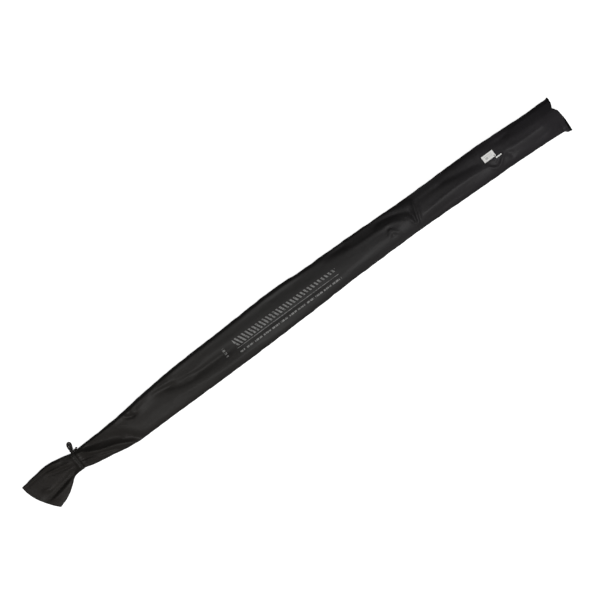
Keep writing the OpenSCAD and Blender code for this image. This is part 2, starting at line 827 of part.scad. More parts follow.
module tip_blank() {
    joint_from = section_length - socket_depth;
    joint_gap = 0.05;
    core_r = 3.4;
    core_end = section_length * 0.85;
    color([0.1, 0.1, 0.11])
        on_tip()
            difference() {
                cylinder(h = section_length, r1 = tip_r(0), r2 = tip_r(section_length));
                translate([0, 0, -0.01])
                    cylinder(
                        h = socket_depth, r1 = butt_r(joint_from) + joint_gap,
                        r2 = butt_r(section_length) + joint_gap);
                translate([0, 0, socket_depth - 1])
                    cylinder(h = core_end - socket_depth, r1 = core_r, r2 = 0.5);
            }
}

module socket_wrap() {
    color([0.3, 0.04, 0.05])
        on_tip()
            difference() {
                translate([0, 0, 1])
                    cylinder(h = socket_wrap_length, r = socket_wrap_r);
                tip_core(1, 1 + socket_wrap_length, glue_gap);
            }
}

tip_tube_from = section_length - tip_tube_length + 1;
tip_tube_r = tip_r(tip_tube_from) + glue_gap + tip_tube_wall;

module tip_top_frame() {
    holder_r = running_ring / 2 + holder_wall;
    ring_z = section_length + 2;
    color([0.75, 0.75, 0.77])
        on_tip()
            difference() {
                union() {
                    translate([0, 0, tip_tube_from])
                        cylinder(h = tip_tube_length + 1, r = tip_tube_r);
                    translate([tip_ring_rise, 0, ring_z - holder_depth / 2])
                        cylinder(h = holder_depth, r = holder_r);
                    for (side = [-1, 1])
                        bar([0.3, side * (tip_tube_r - 0.3), tip_tube_from + 3],
                            [tip_ring_rise, side * (holder_r - 0.4), ring_z], strut_r);
                }
                tip_core(tip_tube_from, section_length, glue_gap);
                translate([tip_ring_rise, 0, ring_z - holder_depth])
                    cylinder(h = 2 * holder_depth, r = running_ring / 2);
            }
}

module tip_top_ring() {
    color([0.3, 0.3, 0.32])
        on_tip()
            translate([tip_ring_rise, 0, section_length + 2])
                rotate_extrude()
                    translate([running_ring / 2 - ring_wall / 2 - glue_gap, 0])
                        intersection() {
                            circle(ring_wall * 0.75, $fn = 32);
                            square([ring_wall, ring_wall * 2], center = true);
                        }
}

module tip_top_wrap() {
    length = 8;
    from = tip_tube_from - length - 0.05;
    color([0.3, 0.04, 0.05])
        on_tip()
            difference() {
                translate([0, 0, from]) cylinder(h = length, r = tip_r(from) + 0.45);
                tip_core(from, from + length, glue_gap);
            }
}

bag_cloth();
tie_wrap();
tie_knot();
tie_loop();
tie_ends();
swing_tag();
tag_fastener();
butt_blank();
butt_cap();
rear_grip();
trim_ring();
reel_seat();
seat_arbors();
sliding_hood();
lock_nut();
fore_grip();
winding_check();
hook_keeper();
keeper_wraps();
butt_guide_wraps();
tip_blank();
socket_wrap();
tip_guide_wraps();
tip_top_frame();
tip_top_ring();
tip_top_wrap();
for (i = [1:8])
    color([0.75, 0.75, 0.77]) on_section(guides[i - 1]) guide_frame(guides[i - 1]);
for (i = [1:8])
    color([0.3, 0.3, 0.32]) on_section(guides[i - 1]) guide_ring(guides[i - 1]);
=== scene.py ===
"""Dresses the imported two-piece rod.

Makes the tied cloth sleeve and its cord, and gives the price tag and every hidden piece its finish.
"""

import json
import math

import bmesh
import bpy
import numpy as np
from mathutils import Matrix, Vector


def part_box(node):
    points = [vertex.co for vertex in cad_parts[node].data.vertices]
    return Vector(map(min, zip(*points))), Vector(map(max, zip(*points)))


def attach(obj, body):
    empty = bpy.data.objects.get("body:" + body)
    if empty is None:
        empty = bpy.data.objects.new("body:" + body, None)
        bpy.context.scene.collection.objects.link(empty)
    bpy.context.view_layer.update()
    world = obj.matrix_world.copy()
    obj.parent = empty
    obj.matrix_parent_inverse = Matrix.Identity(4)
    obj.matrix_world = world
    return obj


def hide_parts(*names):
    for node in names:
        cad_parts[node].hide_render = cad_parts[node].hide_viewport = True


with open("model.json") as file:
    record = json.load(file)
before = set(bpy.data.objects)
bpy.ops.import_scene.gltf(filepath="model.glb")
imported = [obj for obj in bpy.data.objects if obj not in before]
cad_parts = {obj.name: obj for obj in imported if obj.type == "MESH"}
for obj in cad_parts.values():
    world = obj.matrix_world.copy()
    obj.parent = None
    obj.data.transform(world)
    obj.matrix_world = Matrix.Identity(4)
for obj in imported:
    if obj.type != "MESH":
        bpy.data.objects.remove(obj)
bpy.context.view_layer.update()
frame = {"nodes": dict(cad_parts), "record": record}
nodes = frame["nodes"]

# Shapes are worked out in millimetres and turned to metres as each mesh is made.

MM = 0.001
UPWARD, ALONG_ROD = np.array([0.0, 0, 1]), np.array([1.0, 0, 0])
MOUTH_X, TIE_X, END_X = -672.0, -562.0, 692.0
# the cloth's thickness, and how far the mouth's rim bows out in its middle
CLOTH, RIM_BOW = 0.5, 9.0

# The sleeve is made of rings of points. A ring starts under the middle, so its points of the upper cloth
# stand between the two halves of its underside.
RINGS, OVER, UNDER = 470, 80, 24
ROUND = OVER + UNDER
UPPER_FROM = UNDER - UNDER // 2


def ease(low, high, value):
    """0 below low, 1 above high, and a smooth step between them."""
    share = np.clip((value - low) / (high - low), 0, 1)
    return share * share * (3 - 2 * share)


def curve_through(points, per_span=24):
    """A smooth curve through every row of points."""
    points = np.asarray(points, float)
    padded = np.vstack([2 * points[0] - points[1], points, 2 * points[-1] - points[-2]])
    t = np.linspace(0, 1, per_span, endpoint=False)[:, None]
    spans = [0.5 * (2 * b + (c - a) * t + (2 * a - 5 * b + 4 * c - d) * t ** 2
                    + (3 * b - a - 3 * c + d) * t ** 3)
             for a, b, c, d in zip(padded, padded[1:], padded[2:], padded[3:])]
    return np.vstack(spans + [points[-1:]])


def even_steps(points, step):
    """The same curve, with its points a fixed step apart."""
    along = np.concatenate([[0], np.cumsum(np.linalg.norm(np.diff(points, axis=0), axis=1))])
    places = np.linspace(0, along[-1], max(2, int(round(along[-1] / step)) + 1))
    return np.column_stack([np.interp(places, along, column) for column in points.T])


def evened(values, axis=0):
    """Each value drawn half way towards its two neighbours along an axis."""
    return (np.roll(values, 1, axis) + 2 * values + np.roll(values, -1, axis)) / 4


def ring_quads(rings, sides, first=0, closed=False, flip=False):
    """Four-cornered faces between rings of points, each with its corners' rings and places round the ring."""
    corners = ((0, 0), (1, 0), (1, 1), (0, 1)) if flip else ((0, 0), (0, 1), (1, 1), (1, 0))
    for ring in range(rings if closed else rings - 1):
        for k in range(sides):
            places = [(ring + i, k + j) for i, j in corners]
            yield [first + (row % rings) * sides + place % sides for row, place in places], places


def mesh_piece(name, verts, faces, uv):
    """A smooth mesh at the origin from points in millimetres; uv gives each face corner's place in metres."""
    mesh = bpy.data.meshes.new(name)
    mesh.from_pydata((np.asarray(verts) * MM).tolist(), [], [tuple(int(i) for i in face) for face in faces])
    layer = mesh.uv_layers.new(name="cloth")
    layer.data.foreach_set("uv", np.asarray(uv, dtype=np.float32).ravel())
    mesh.polygons.foreach_set("use_smooth", [True] * len(mesh.polygons))
    # every face looks out of the cloth or cord that it bounds
    shell = bmesh.new()
    shell.from_mesh(mesh)
    bmesh.ops.recalc_face_normals(shell, faces=shell.faces)
    if shell.calc_volume(signed=True) < 0:
        bmesh.ops.reverse_faces(shell, faces=shell.faces)
    shell.to_mesh(mesh)
    shell.free()
    mesh.update()
    piece = bpy.data.objects.new(name, mesh)
    bpy.context.scene.collection.objects.link(piece)
    return piece


# The sleeve's stations: place along the rod, lower edge, upper edge, underside, crown, where the crown runs,
# and how far the upper edge leans back along the rod. The crown's named heights are those over the thin
# sections, the fore grip and the handle.

FRONT, FORE, HANDLE = 24.0, 29.6, 34.5
STATIONS = np.array([
    (MOUTH_X, -57.5, 24.0, 0.0, 5.0, 1.0, -21.0),
    (-641.2, -50.0, 30.0, 0.0, 6.5, 1.0, -15.0),
    (-611.5, -35.0, 32.0, 0.0, 9.0, 1.0, -8.0),
    (-588.4, -23.0, 27.5, 0.2, 12.0, 1.0, -2.0),
    (-566.5, -21.2, 21.8, 2.0, 14.0, 1.0, 0.0),
    (-557.5, -21.2, 21.2, 2.0, 14.0, 1.0, 0.0),
    (-539.4, -26.5, 22.0, 0.6, 16.0, 1.0, 0.0),
    (-509.3, -32.0, 23.0, 0.0, FRONT - 3.0, 0.0, 0.0),
    (-441.0, -43.0, 26.0, 0.0, FRONT - 1.0, 0.0, 0.0),
    (-373.9, -43.5, 33.5, 0.0, FRONT, 0.0, 0.0),
    (-286.1, -43.5, 40.0, 0.0, FRONT, 0.0, 0.0),
    (-148.2, -43.5, 44.0, 0.0, FRONT, 0.0, 0.0),
    (-16.5, -41.5, 48.0, 0.0, FRONT + 1.0, -1.0, 0.0),
    (52.5, -40.0, 44.0, 0.0, 27.4, -3.0, 0.0),
    (118.9, -37.5, 43.0, 0.0, FORE, -5.0, 0.0),
    (190.4, -37.0, 41.6, 0.0, HANDLE, -7.0, 0.0),
    (290.7, -36.5, 38.0, 0.0, HANDLE, -6.0, 0.0),
    (359.7, -38.0, 37.0, 0.0, HANDLE, -6.0, 0.0),
    (491.4, -42.0, 37.0, 0.0, HANDLE, -6.0, 0.0),
    (560.3, -43.5, 34.0, 0.0, HANDLE, -6.0, 0.0),
    (623.0, -46.5, 30.5, 0.0, HANDLE, -6.0, 0.0),
    (649.4, -48.0, 30.0, 0.0, HANDLE, -6.0, 0.0),
    (671.9, -49.5, 30.0, 0.0, 20.0, -6.0, 0.0),
    (680.0, -51.0, 30.0, 0.0, 11.0, -6.0, 0.0),
    (685.0, -55.8, 30.0, 0.0, 7.5, -6.0, 0.0),
    (END_X, -56.6, 30.0, 0.0, 4.0, -6.0, 0.0)])

# Folds of the upper cloth: height (a valley is below nought), its reach towards the upper edge and towards
# the lower edge, and the line that it follows.

PLEAT = [(-560, 15), (-541, 8), (-524, -3), (-505, -11), (-482, -18), (-462, -27), (-446, -36), (-434, -46),
         (-424, -56)]
FOLDS = [
    # the pleat that runs from the cord down to the lower edge, its crisp crest, and the broad valley over it
    (5.4, 6.0, 9.0, PLEAT),
    (2.0, 2.4, 3.0, PLEAT),
    (-7.0, 10.0, 9.0, [(-550, 19), (-530, 14), (-511, 8), (-484, 0), (-464, -9), (-447, -22), (-432, -36),
                       (-418, -50)]),
    (2.6, 3.0, 3.5, [(-548, 17), (-510, 17), (-476, 18), (-440, 20)]),
    (2.0, 9.0, 8.0, [(-500, 22), (-462, 14), (-440, 2), (-426, -14)]),
    (-3.2, 2.6, 2.6, [(-514, -15), (-496, -22), (-474, -31)]),
    (2.4, 3.0, 5.0, [(-556, -8), (-530, -16), (-490, -30)]),
    (-2.4, 3.0, 3.0, [(-554, -2), (-530, -9), (-512, -14)]),
    # the rod's front end pokes the cloth up
    (2.4, 7.0, 8.0, [(-414, 14), (-402, 11), (-384, 13)]),
    (-5.0, 3.0, 3.0, [(-433, 31), (-429, 22), (-423, 13), (-414, 8), (-404, 6)]),
    (2.6, 3.0, 3.0, [(-422, 23), (-418, 16), (-415, 12)]),
    (-3.0, 2.2, 2.2, [(-414, 15), (-412, 10), (-409, 5)]),
    (3.4, 2.4, 2.4, [(-409, 9), (-406, 15), (-404, 22)]),
    (2.6, 6.0, 10.0, [(-402, 14), (-368, 17), (-333, 21), (-298, 23)]),
    (-0.8, 7.0, 5.0, [(-400, 27), (-350, 29), (-300, 33)]),
    # the fuller upper margin over the thin sections
    (4.5, 4.0, 8.0, [(-450, 20), (-405, 24), (-360, 29), (-286, 34), (-148, 38), (-20, 41), (52, 38),
                     (110, 37)]),
    (4.0, 4.0, 6.0, [(-455, 19), (-420, 21), (-395, 24), (-360, 28), (-325, 31)]),
    # the long soft valley over the thin sections
    (-7.6, 8.0, 9.0, [(-345, 19), (-306, 11), (-280, 4), (-253, 0), (-227, -2), (-195, -3), (-150, -4)]),
    (2.2, 4.5, 5.0, [(-372, 21), (-345, 24), (-318, 20), (-290, 14), (-262, 9), (-235, 7)]),
    (2.0, 9.0, 9.0, [(-320, -14), (-250, -24), (-180, -28), (-110, -28)]),
    (1.6, 9.0, 9.0, [(-240, 21), (-180, 18), (-120, 16)]),
    (-1.2, 6.0, 6.0, [(-60, 34), (0, 33), (60, 32)]),
    (-1.6, 5.0, 6.0, [(-120, -9), (-40, -10), (50, -10), (120, -9)]),
    # the drawn-in cloth where the fore end stops
    (-4.4, 7.0, 6.0, [(112, 34), (178, 31), (227, 29), (250, 29), (280, 23), (306, 13), (318, 4)]),
    (2.0, 4.0, 6.0, [(150, 18), (215, 15), (268, 11), (292, -1), (306, -12)]),
    (2.6, 2.4, 2.4, [(246, -14), (250, -8), (256, 2), (263, -8), (271, -17)]),
    (-2.4, 2.4, 2.4, [(254, -15), (257, -9), (261, -15)]),
    (-2.0, 2.4, 2.4, [(244, -3), (256, 8), (268, -2)]),
    (2.4, 2.6, 2.6, [(302, 5), (306, -12), (312, -24)]),
    (-3.8, 2.8, 2.8, [(314, 12), (312, 2), (314, -8), (310, -20)]),
    (3.2, 2.6, 2.6, [(330, 25), (325, 8), (318, -12), (313, -26)]),
    (-2.2, 2.8, 2.8, [(337, 20), (331, 6), (325, -10), (320, -22)]),
    # the valley and the ridge beside the grip
    (-4.2, 14.0, 8.0, [(330, 38), (352, 34), (373, 30), (408, 19), (443, 12), (479, 7), (503, 0)]),
    (2.2, 6.0, 8.0, [(330, -14), (373, -11), (419, -9), (468, -11), (500, -15)]),
    (-1.4, 6.0, 6.0, [(340, -28), (400, -27), (460, -29)]),
    # the short creases about the tag
    (1.9, 2.4, 2.6, [(499, -12), (507, -20), (515, -27), (526, -26), (537, -17), (549, -8)]),
    (-1.6, 3.0, 3.0, [(510, -15), (520, -20), (532, -13)]),
    (-2.4, 6.0, 6.0, [(548, -14), (560, -19), (556, -29)]),
    # the flat upper side and the long ridge towards the sewn end
    (-3.2, 12.0, 9.0, [(540, 25), (575, 20), (610, 17), (650, 17)]),
    (2.2, 7.0, 9.0, [(556, -9), (590, -12), (630, -13), (664, -12)]),
    (-1.4, 5.0, 5.0, [(600, -32), (640, -29), (676, -24)]),
    (-1.5, 4.0, 4.0, [(648, -38), (670, -42), (688, -47)]),
    # the gathered mouth: an upper roll, a crease to the cord, and the lower flap
    (7.0, 3.0, 4.0, [(-690, 22), (-672, 24), (-650, 26), (-622, 27), (-598, 22)]),
    (-5.0, 2.6, 3.6, [(-694, 20), (-660, 22), (-634, 23), (-614, 18)]),
    (-4.0, 2.2, 2.8, [(-638, 14), (-620, 8), (-596, 3), (-572, -3)]),
    (2.6, 3.0, 4.0, [(-628, 17), (-602, 12), (-576, 7)]),
    (-8.0, 6.0, 8.0, [(-674, -28), (-650, -25), (-630, -22), (-606, -18), (-588, -14), (-572, -9)]),
    (5.0, 5.0, 7.0, [(-660, -38), (-640, -35), (-614, -30), (-598, -24)]),
    (6.0, 3.2, 3.6, [(-660, -8), (-651, -12), (-642, -15)]),
    (-3.0, 2.6, 2.6, [(-672, -38), (-656, -42), (-640, -42)]),
]


# A fold's line is followed in steps of FOLD_STEP. Its height fades over FOLD_FADE of its length towards each
# end, where a part of it is left, and FOLD_POWER shapes its flanks.
FOLD_STEP, FOLD_END, FOLD_FADE, FOLD_POWER = 3.0, 0.12, 0.3, 1.7


def fold_heights(x, y):
    """How far the folds lift or sink the cloth over each place."""
    total = np.zeros_like(x)
    for height, above, below, line in FOLDS:
        points = even_steps(curve_through(line, 8), FOLD_STEP)
        nearest = np.full(x.shape, np.inf)
        side, along = np.zeros_like(x), np.zeros_like(x)
        count = len(points) - 1
        for i, (start, end) in enumerate(zip(points, points[1:])):
            run = end - start
            length = np.linalg.norm(run)
            share = np.clip(((x - start[0]) * run[0] + (y - start[1]) * run[1]) / length ** 2, 0, 1)
            off_x, off_y = x - start[0] - share * run[0], y - start[1] - share * run[1]
            distance = np.hypot(off_x, off_y)
            closer = distance < nearest
            nearest = np.where(closer, distance, nearest)
            side = np.where(closer, run[0] * off_y - run[1] * off_x, side)
            along = np.where(closer, (i + share) / count, along)
        reach = np.where(side > 0, above, below)
        fade = np.minimum(1, np.minimum(along + FOLD_END, 1 + FOLD_END - along) / FOLD_FADE)
        total += height * fade * np.exp(-(nearest / reach) ** FOLD_POWER)
    return total


def ripples(x, y, seed, count, shortest, longest, stretch):
    """Small uneven waves, longer along the rod than across it, about 1 high."""
    dice = np.random.default_rng(seed)
    total = np.zeros_like(x)
    for _ in range(count):
        length = dice.uniform(shortest, longest)
        turn = dice.uniform(-0.9, 0.9)
        start, height = dice.uniform(0, 6.3), dice.uniform(0.4, 1)
        run = (x / stretch) * math.sin(turn) + y * math.cos(turn)
        total += np.sin(2 * math.pi * run / length + start) * height
    return total / math.sqrt(count)


# What lies in the sleeve is measured on a grid of squares, which reaches this far from the middle each way.
SQUARE, GRID_X, GRID_Y = 2.0, 720.0, 64.0
OUTSIDE = {"bag_cloth", "tie_wrap", "tie_knot", "tie_loop", "tie_ends", "swing_tag", "tag_fastener"}
# How far the sections slide back and on, and the cloth's fall from square to square along and across the rod,
# with the number of squares that it is followed over
TRAVEL_BACK, TRAVEL_ON = 40.0, 8.0
FALL_ALONG, REACH_ALONG = 0.8, 20
FALL_ACROSS, REACH_ACROSS = 1.3, 8


def packed_heights():
    """The top of what lies in the sleeve, over the grid, spread over both sections' travel."""
    columns, rows = int(2 * GRID_X / SQUARE), int(2 * GRID_Y / SQUARE)
    heights = np.zeros((columns, rows))
    for name, part in nodes.items():
        if name in OUTSIDE:
            continue
        mesh = part.data
        places = np.array([part.matrix_world @ v.co for v in mesh.vertices]) / MM
        ends = places[np.array([e.vertices for e in mesh.edges])]
        long = np.linalg.norm(ends[:, 1] - ends[:, 0], axis=1)
        # edges are followed in steps no longer than a square, but those of 128 to 300 mm, on the rear grip
        # and the reel seat, are passed over, so the cloth can lie closer than ROD_GAP there
        for steps, shortest in ((1, -1), (4, 2), (16, 8), (64, 32), (600, 300)):
            chosen = ends[(long > shortest) & (long <= SQUARE * steps)]
            if not len(chosen):
                continue
            share = np.linspace(0, 1, steps + 1)[None, :, None]
            spread = (chosen[:, :1] * (1 - share) + chosen[:, 1:] * share).reshape(-1, 3)
            i = np.clip(((spread[:, 0] + GRID_X) / SQUARE).astype(int), 0, columns - 1)
            j = np.clip(((spread[:, 1] + GRID_Y) / SQUARE).astype(int), 0, rows - 1)
            np.maximum.at(heights, (i, j), spread[:, 2])
    grown = heights.copy()
    for di in range(-int(TRAVEL_BACK / SQUARE) - 1, int(TRAVEL_ON / SQUARE) + 2):
        grown = np.maximum(grown, np.roll(heights, di, axis=0))
    # the cloth leaves each edge in a slope, not a step
    sloped = grown.copy()
    for di in range(-REACH_ALONG, REACH_ALONG + 1):
        sloped = np.maximum(sloped, np.roll(grown, di, axis=0) - FALL_ALONG * abs(di))
    draped = sloped.copy()
    for dj in range(-REACH_ACROSS, REACH_ACROSS + 1):
        draped = np.maximum(draped, np.roll(sloped, dj, axis=1) - FALL_ACROSS * max(0, abs(dj) - 1))
    return evened(evened(draped, 0), 1)


def over_grid(heights, x, y):
    """The grid's heights at any places, evened out between the squares."""
    i, j = (x + GRID_X) / SQUARE - 0.5, (y + GRID_Y) / SQUARE - 0.5
    i0, j0 = [np.clip(np.floor(k).astype(int), 0, n - 2) for k, n in zip((i, j), heights.shape)]
    u, v = np.clip(i - i0, 0, 1), np.clip(j - j0, 0, 1)
    return ((heights[i0, j0] * (1 - u) + heights[i0 + 1, j0] * u) * (1 - v)
            + (heights[i0, j0 + 1] * (1 - u) + heights[i0 + 1, j0 + 1] * u) * v)


# The creases where the fore end stops, and the tag: its underside's height at TAG_Y, its tilt in degrees, the
# gap kept under it and the room that it needs along and across the rod.
CREASES_X, TAG_X, TAG_Y = 318.0, 520.0, 3.0
TAG_UNDERSIDE, TAG_TILT, TAG_GAP = 34.03, 6.615, 0.55
TAG_ROOM_X, TAG_ROOM_Y = (492, 546), (-24, 26)
# Rings stand closer about these places: place, how far about it, and how much closer
CLOSER_RINGS = [(TIE_X, 45, 1.1), (CREASES_X, 30, 1.0), (TAG_X + 5, 35, 0.8), (END_X, 25, 1.4),
                (MOUTH_X, 20, 0.6)]
# Where the sewn end starts to draw the cloth in, and how far it pulls it along the rod at places across it
SEWN_FROM = 640.0
SEWN_ACROSS, SEWN_PULL = [-54, -47, -29, -6, 6, 17, 30], [0.5, 1, 2, 0, -8, -3, -2]
# The cloth's gap over the rod, the height over which it gives way to it, and its least heights over and under
ROD_GAP, ROD_GIVE, LEAST_OVER, LEAST_UNDER = 1.3, 3.0, 1.2, 0.02


def ring_places(dense):
    """Where the rings stand along the rod."""
    probe = np.linspace(dense[0, 0], dense[-1, 0], 2000)
    weight = np.ones_like(probe)
    for place, about, gain in CLOSER_RINGS:
        weight += gain * np.exp(-((probe - place) / about) ** 2)
    run = np.cumsum(weight)
    return np.interp(np.linspace(run[0], run[-1], RINGS), run, probe)


def ring_outlines(xs, low, high, floor, crown, peak):
    """Each ring's points across and up before any fold, and how far each one belongs to the upper cloth."""
    turn = math.pi * (1 - np.arange(OVER) / (OVER - 1))[None, :]
    cos, sin = np.cos(turn), np.abs(np.sin(turn))
    # the cloth hangs slack from the handle, and lies fuller over the thin sections and under the tag
    slack = ease(40, 190, xs) * (1 - np.exp(-((xs - TAG_X) / 55) ** 2))
    power = 2 / (2.3 - 0.55 * slack)
    across = np.sign(cos) * np.abs(cos) ** power
    y_over = np.where(across < 0, peak + (peak - low) * across, peak + (high - peak) * across)
    edge = floor + np.minimum(2.5, 0.3 * (crown - floor))
    z_over = edge + (crown - edge) * sin ** power

    middle, half = (low + high) / 2, (high - low) / 2
    flat = np.cos(math.pi * ((np.arange(UNDER) + 0.5) / UNDER))[None, :]
    y_under = middle + half * np.sign(flat) * np.abs(flat) ** 0.8
    z_under = floor + (edge - floor) * np.abs(flat) ** 6
    half_way = UNDER // 2
    y = np.hstack([y_under[:, half_way:], y_over, y_under[:, :half_way]])
    z = np.hstack([z_under[:, half_way:], z_over, z_under[:, :half_way]])
    over = np.zeros(y.shape)
    over[:, UPPER_FROM:UPPER_FROM + OVER] = ease(0.0, 0.5, sin)
    return y, z, over


def cloth_lift(x, y, xs, part_way):
    """The folds, the gathers at the cord, the puckers at the sewn end and the uneven lie of the cloth."""
    near_tie = np.exp(-np.abs(xs - TIE_X) / np.where(xs < TIE_X, 16, 26))
    gathers = (np.sin(part_way * 13 + 0.7) + 0.7 * np.sin(part_way * 23 + 2.0)
               + 0.4 * np.sin(part_way * 37)) / 1.6
    puckers = np.sin(y * 0.62 + 0.9) + 0.6 * np.sin(y * 1.13 + 2.2)
    broad = ripples(x, y, seed=3, count=14, shortest=16, longest=46, stretch=5)
    small = ripples(x, y, seed=8, count=16, shortest=6, longest=14, stretch=3)
    lift = (1.45 * fold_heights(x, y) + 1.2 * near_tie * gathers + 0.55 * ease(SEWN_FROM, END_X, xs) * puckers
            + 0.42 * broad + 0.16 * small)
    return evened(evened(lift, 0), 1)


def sleeve_grid():
    """The sleeve's outer face: rings of points from the mouth to the sewn end, each from under the middle."""
    dense = curve_through(STATIONS)
    xs = ring_places(dense)
    low, high, floor, crown, peak, lean = [np.interp(xs, dense[:, 0], column)[:, None]
                                           for column in dense.T[1:]]
    xs, floor = xs[:, None], np.maximum(floor, 0)
    y, z, over = ring_outlines(xs, low, high, floor, crown, peak)
    part_way = (y - (low + high) / 2) / ((high - low) / 2)
    x = xs + lean * part_way - RIM_BOW * (1 - part_way ** 2) * (1 - ease(MOUTH_X, -590, xs))

    # the sleeve folds less where it lies low, and its neck bulges on both sides of the cord
    fullness = np.clip((crown - floor) / 12, 0.7, 1)
    z = z + over * cloth_lift(x, y, xs, part_way) * fullness
    from_tie = xs - TIE_X
    bulge = 2.2 * np.exp(-((np.abs(from_tie) - 6) / 3.4) ** 2) - 0.8 * np.exp(-(from_tie / 2.4) ** 2)
    z = z + np.where(over > 0, over * bulge, -0.5 * bulge * (floor > 0.5))

    # the edges wander a little, and the sewn end is drawn into a wavy line
    wander = 0.5 * ripples(xs + 0 * y, 0 * y + 11, seed=5, count=10, shortest=9, longest=30, stretch=1)
    y = y + wander * np.sign(part_way) * np.abs(part_way) ** 6 * ease(20, 60, np.abs(from_tie))
    x = x + np.interp(y, SEWN_ACROSS, SEWN_PULL) * ease(SEWN_FROM, END_X, xs)

    # the cloth stays over what is packed in it, and under the tag that lies on it
    packed = over_grid(packed_heights(), x, y)
    free = packed + ROD_GAP + ROD_GIVE
    top = over > 0
    held = np.where(z > free, z, free - ROD_GIVE + ROD_GIVE * np.exp(np.minimum(0, (z - free) / ROD_GIVE)))
    z = np.where(top, z + (held - z) * ease(0.5, 4, packed), z)
    tag_plane = TAG_UNDERSIDE - math.tan(math.radians(TAG_TILT)) * (y - TAG_Y) - TAG_GAP
    by_tag = (top & (x > TAG_ROOM_X[0]) & (x < TAG_ROOM_X[1])
              & (y > TAG_ROOM_Y[0]) & (y < TAG_ROOM_Y[1]))
    z = np.where(by_tag, np.minimum(z, tag_plane), z)
    z = np.where(top, np.maximum(z, floor + LEAST_OVER), np.maximum(z, LEAST_UNDER))
    return x, y, z


def grid_normals(points):
    """Outward directions over a grid of rings."""
    along = np.gradient(points, axis=0)
    around = np.roll(points, -1, axis=1) - np.roll(points, 1, axis=1)
    normal = np.cross(around, along)
    normal /= np.maximum(np.linalg.norm(normal, axis=2, keepdims=True), 1e-9)
    outward = (normal * (points - points.mean(axis=1, keepdims=True))).sum() > 0
    return normal if outward else -normal


def end_strips(across):
    """Faces that shut a ring: strips that run straight down from its upper cloth to its underside."""
    upper = list(range(UPPER_FROM, UPPER_FROM + OVER))
    lower = list(range(UPPER_FROM - 1, -1, -1)) + list(range(ROUND - 1, UPPER_FROM + OVER - 1, -1))
    strips = []
    i = j = 0
    while i < OVER - 1 or j < UNDER - 1:
        if i < OVER - 1 and (j == UNDER - 1 or across[upper[i + 1]] <= across[lower[j + 1]]):
            strips.append((upper[i], upper[i + 1], lower[j]))
            i += 1
        else:
            strips.append((lower[j + 1], lower[j], upper[i]))
            j += 1
    return strips


# The turned hem at the mouth: its depth, the extra thickness, and its stitch line's place and depth
HEM, HEM_EXTRA, STITCH_AT, STITCH_SINK = 9.0, 0.55, 8.6, 0.35
# Half of the slit that the gathered neck leaves, and where the inner face stops short of the sewn end
SLIT, INNER_STOP = 0.5, 14.0


def sew_sleeve():
    """The sleeve as one cloth shell, open at the mouth and closed at the sewn end, and its outer points."""
    x, y, z = sleeve_grid()
    outer = np.stack([x, y, z], axis=2)
    normal = grid_normals(outer)
    steps = np.linalg.norm(np.diff(outer, axis=0), axis=2)
    from_rim = np.cumsum(np.vstack([np.zeros((1, ROUND)), steps]), axis=0)
    hem = (HEM_EXTRA * (1 - ease(HEM, HEM + 1.5, from_rim))
           - STITCH_SINK * np.exp(-((from_rim - STITCH_AT) / 0.9) ** 2))
    outer = outer + normal * hem[:, :, None]
    outer[:, :, 2] = np.maximum(outer[:, :, 2], 0.0)
    inner = outer - normal * (CLOTH + np.maximum(hem, 0))[:, :, None]
    # the gathered neck leaves only a slit
    shut = np.exp(-((x - TIE_X) / 12) ** 2)
    heights = outer[:, :, 2]
    neck_middle = (heights.min(axis=1, keepdims=True) + heights.max(axis=1, keepdims=True)) / 2
    slit = neck_middle + np.clip(inner[:, :, 2] - neck_middle, -SLIT, SLIT)
    inner[:, :, 2] = inner[:, :, 2] * (1 - shut) + slit * shut
    # both layers are stitched together at the sewn end
    last = int(np.argmax(x.max(axis=1) > END_X - INNER_STOP))
    verts = np.vstack([outer.reshape(-1, 3), inner[:last].reshape(-1, 3)])
    base = RINGS * ROUND

    # the cloth's own map: along the rod, and round the sleeve from the middle of the upper cloth
    girth = np.cumsum(np.linalg.norm(np.diff(outer, axis=1, append=outer[:, :1]), axis=2), axis=1)
    girth = np.hstack([np.zeros((RINGS, 1)), girth])
    girth = girth - girth[:, UPPER_FROM + OVER // 2][:, None]

    def corner(ring, place):
        return (x[ring, place % ROUND] * MM, girth[ring, place] * MM)

    faces, uv = [], []
    for first, rings, flip in ((0, RINGS, True), (base, last, False)):
        for face, places in ring_quads(rings, ROUND, first, flip=flip):
            faces.append(face)
            uv += [corner(*place) for place in places]
    for k in range(ROUND):
        n = (k + 1) % ROUND
        faces.append((k, n, base + n, base + k))
        uv += [corner(0, k), corner(0, k + 1), corner(0, k + 1), corner(0, k)]
    for first, ring, turned in ((0, RINGS - 1, False), (base, last - 1, True)):
        for strip in end_strips(y[ring]):
            strip = strip[::-1] if turned else strip
            faces.append([first + ring * ROUND + q for q in strip])
            uv += [corner(ring, q) for q in strip]
    return mesh_piece("sleeve_cloth", verts, faces, uv), outer


sleeve, sleeve_face = sew_sleeve()


# How far the grooves between a cord's strands go in and its ends are rounded out, as shares of its radius,
# and the step of an end's map in metres
GROOVE, ROUNDED_END, END_MAP = 0.2, 0.4, 0.0003
# The length at a cord's end over which its strands fray
FRAY = 5.0


